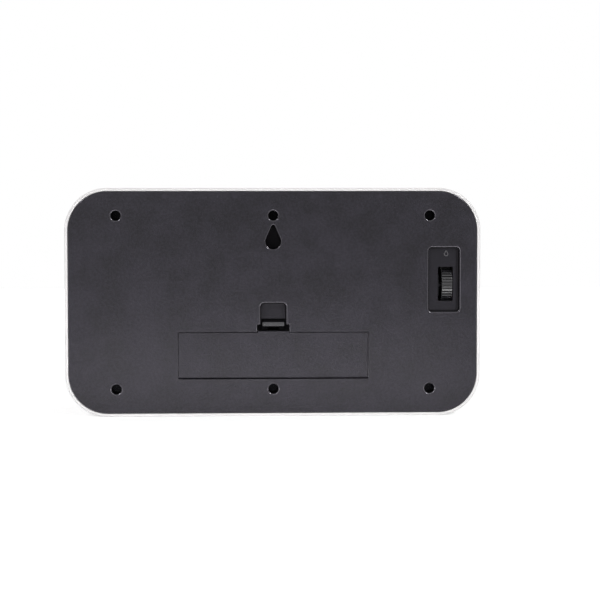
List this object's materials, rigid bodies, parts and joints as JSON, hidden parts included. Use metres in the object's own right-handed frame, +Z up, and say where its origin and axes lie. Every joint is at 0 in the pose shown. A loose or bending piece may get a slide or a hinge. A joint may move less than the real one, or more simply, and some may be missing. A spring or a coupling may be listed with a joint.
{
  "type": "flip clock",
  "caption": "Rounded box flip clock with two leaf drums behind windows, a rear battery door, setting wheel, keyhole and screw wells.",
  "frame": {"origin": "under the middle of the case, on the surface that it stands on", "axes": "+Z up, -Y out of the face with the windows, +Y out of the rear cover, +X to the right seen from the front"},
  "size_m": [0.249, 0.086, 0.137],
  "materials": {
    "white_case": "smooth satin white",
    "black_cover": "fine matte grain",
    "face_black": "matte",
    "leaf_black": "matte",
    "wheel_grey": "satin",
    "latch_grey": "satin",
    "gear_cream": "smooth",
    "drum_white": "smooth",
    "frame_steel": "zinc plated",
    "black_steel": "black oxide",
    "bright_steel": "bright",
    "brass": "turned",
    "board_green": "satin",
    "board_black": "satin",
    "cell_sleeve": "plain sleeve",
    "wire_red": "sleeved",
    "wire_black": "sleeved",
    "wire_yellow": "sleeved"
  },
  "bodies": {
    "clock": {"front_case": "white_case", "face_plate": "face_black", "rear_cover": "black_cover", "battery_box": "black_cover", "case_screws": "black_steel", "battery_left": "cell_sleeve", "battery_right": "cell_sleeve", "negative_contact": "bright_steel", "positive_contact": "bright_steel", "red_wire": "wire_red", "black_wire": "wire_black", "motor_wires": "wire_yellow", "circuit_board": "board_green", "board_parts": "board_black", "board_screws": "bright_steel", "left_plate": "frame_steel", "centre_plate": "frame_steel", "right_plate": "frame_steel", "gear_plate": "frame_steel", "gear_pillars": "brass", "tie_rods": "bright_steel", "rod_nuts": "brass", "frame_screws": "bright_steel", "shaft_bushes": "brass", "minute_finger": "bright_steel", "hour_finger": "bright_steel", "minute_leaves": "leaf_black", "hour_leaves": "leaf_black", "idler_stud": "bright_steel", "thumbwheel_stud": "bright_steel", "stud_clips": "bright_steel", "intermediate_axle": "bright_steel", "motor_can": "bright_steel"},
    "minute_drum": {"main_shaft": "bright_steel", "shaft_collar": "brass", "minute_hub": "drum_white", "minute_cheek_left": "drum_white", "minute_cheek_right": "drum_white", "minute_pinion": "brass", "setting_gear": "gear_cream", "drive_gear": "gear_cream", "clutch_spring": "bright_steel"},
    "hour_drum": {"hour_hub": "drum_white", "hour_cheek_left": "drum_white", "hour_cheek_right": "drum_white", "hour_gear": "gear_cream"},
    "counter": {"counter_wheel": "gear_cream", "counter_axle": "bright_steel"},
    "idler": {"idler_gear": "gear_cream"},
    "thumbwheel": {"thumbwheel": "wheel_grey"},
    "intermediate": {"intermediate_gear": "gear_cream"},
    "motor_rotor": {"motor_pinion": "brass"},
    "minute_leaf": {"minute_leaf": "leaf_black"},
    "hour_leaf": {"hour_leaf": "leaf_black"},
    "battery_door": {"battery_door": "black_cover", "latch_spring": "bright_steel"},
    "door_latch": {"door_latch": "latch_grey"}
  },
  "joints": [
    {"name": "minute_drum_turn", "type": "hinge", "parent": "clock", "child": "minute_drum", "pos_m": [0.0515, -0.0225, 0.0685], "axis": [1, 0, 0], "continuous": true, "deforming": ["minute_leaves"]},
    {"name": "hour_drum_turn", "type": "hinge", "parent": "clock", "child": "hour_drum", "pos_m": [-0.0515, -0.0225, 0.0685], "axis": [1, 0, 0], "continuous": true, "deforming": ["hour_leaves"]},
    {"name": "counter_turn", "type": "hinge", "parent": "clock", "child": "counter", "pos_m": [0, -0.0054, 0.0685], "axis": [1, 0, 0], "continuous": true},
    {"name": "idler_turn", "type": "hinge", "parent": "clock", "child": "idler", "pos_m": [-0.11, 0.00801, 0.0742], "axis": [1, 0, 0], "continuous": true},
    {"name": "thumbwheel_turn", "type": "hinge", "parent": "clock", "child": "thumbwheel", "pos_m": [-0.1046, 0.0305, 0.0784], "axis": [1, 0, 0], "continuous": true},
    {"name": "intermediate_turn", "type": "hinge", "parent": "clock", "child": "intermediate", "pos_m": [0.104, -0.00734, 0.07725], "axis": [1, 0, 0], "continuous": true},
    {"name": "motor_turn", "type": "hinge", "parent": "clock", "child": "motor_rotor", "pos_m": [0.105, 0.00766, 0.07725], "axis": [1, 0, 0], "continuous": true},
    {"name": "minute_leaf_fall", "type": "hinge", "parent": "clock", "child": "minute_leaf", "pos_m": [0.0515, -0.03698, 0.06926], "axis": [1, 0, 0], "range_deg": [0, 173]},
    {"name": "hour_leaf_fall", "type": "hinge", "parent": "clock", "child": "hour_leaf", "pos_m": [-0.0515, -0.03697, 0.06945], "axis": [1, 0, 0], "range_deg": [0, 173]},
    {"name": "battery_door_open", "type": "hinge", "parent": "clock", "child": "battery_door", "pos_m": [0, 0.0417, 0.0239], "axis": [-1, 0, 0], "range_deg": [0, 75]},
    {"name": "latch_slide", "type": "slide", "parent": "battery_door", "child": "door_latch", "axis": [0, 0, -1], "range_m": [0, 0.0012], "stiffness_N_per_m": 900, "deforming": ["latch_spring"]}
  ],
  "couplings": [
    {"joint": "hour_drum_turn", "follows": "minute_drum_turn", "ratio": 0.041667},
    {"joint": "counter_turn", "follows": "minute_drum_turn", "ratio": -0.25},
    {"joint": "idler_turn", "follows": "minute_drum_turn", "ratio": -0.9},
    {"joint": "thumbwheel_turn", "follows": "minute_drum_turn", "ratio": 2.25},
    {"joint": "intermediate_turn", "follows": "minute_drum_turn", "ratio": -6},
    {"joint": "motor_turn", "follows": "minute_drum_turn", "ratio": 30}
  ]
}
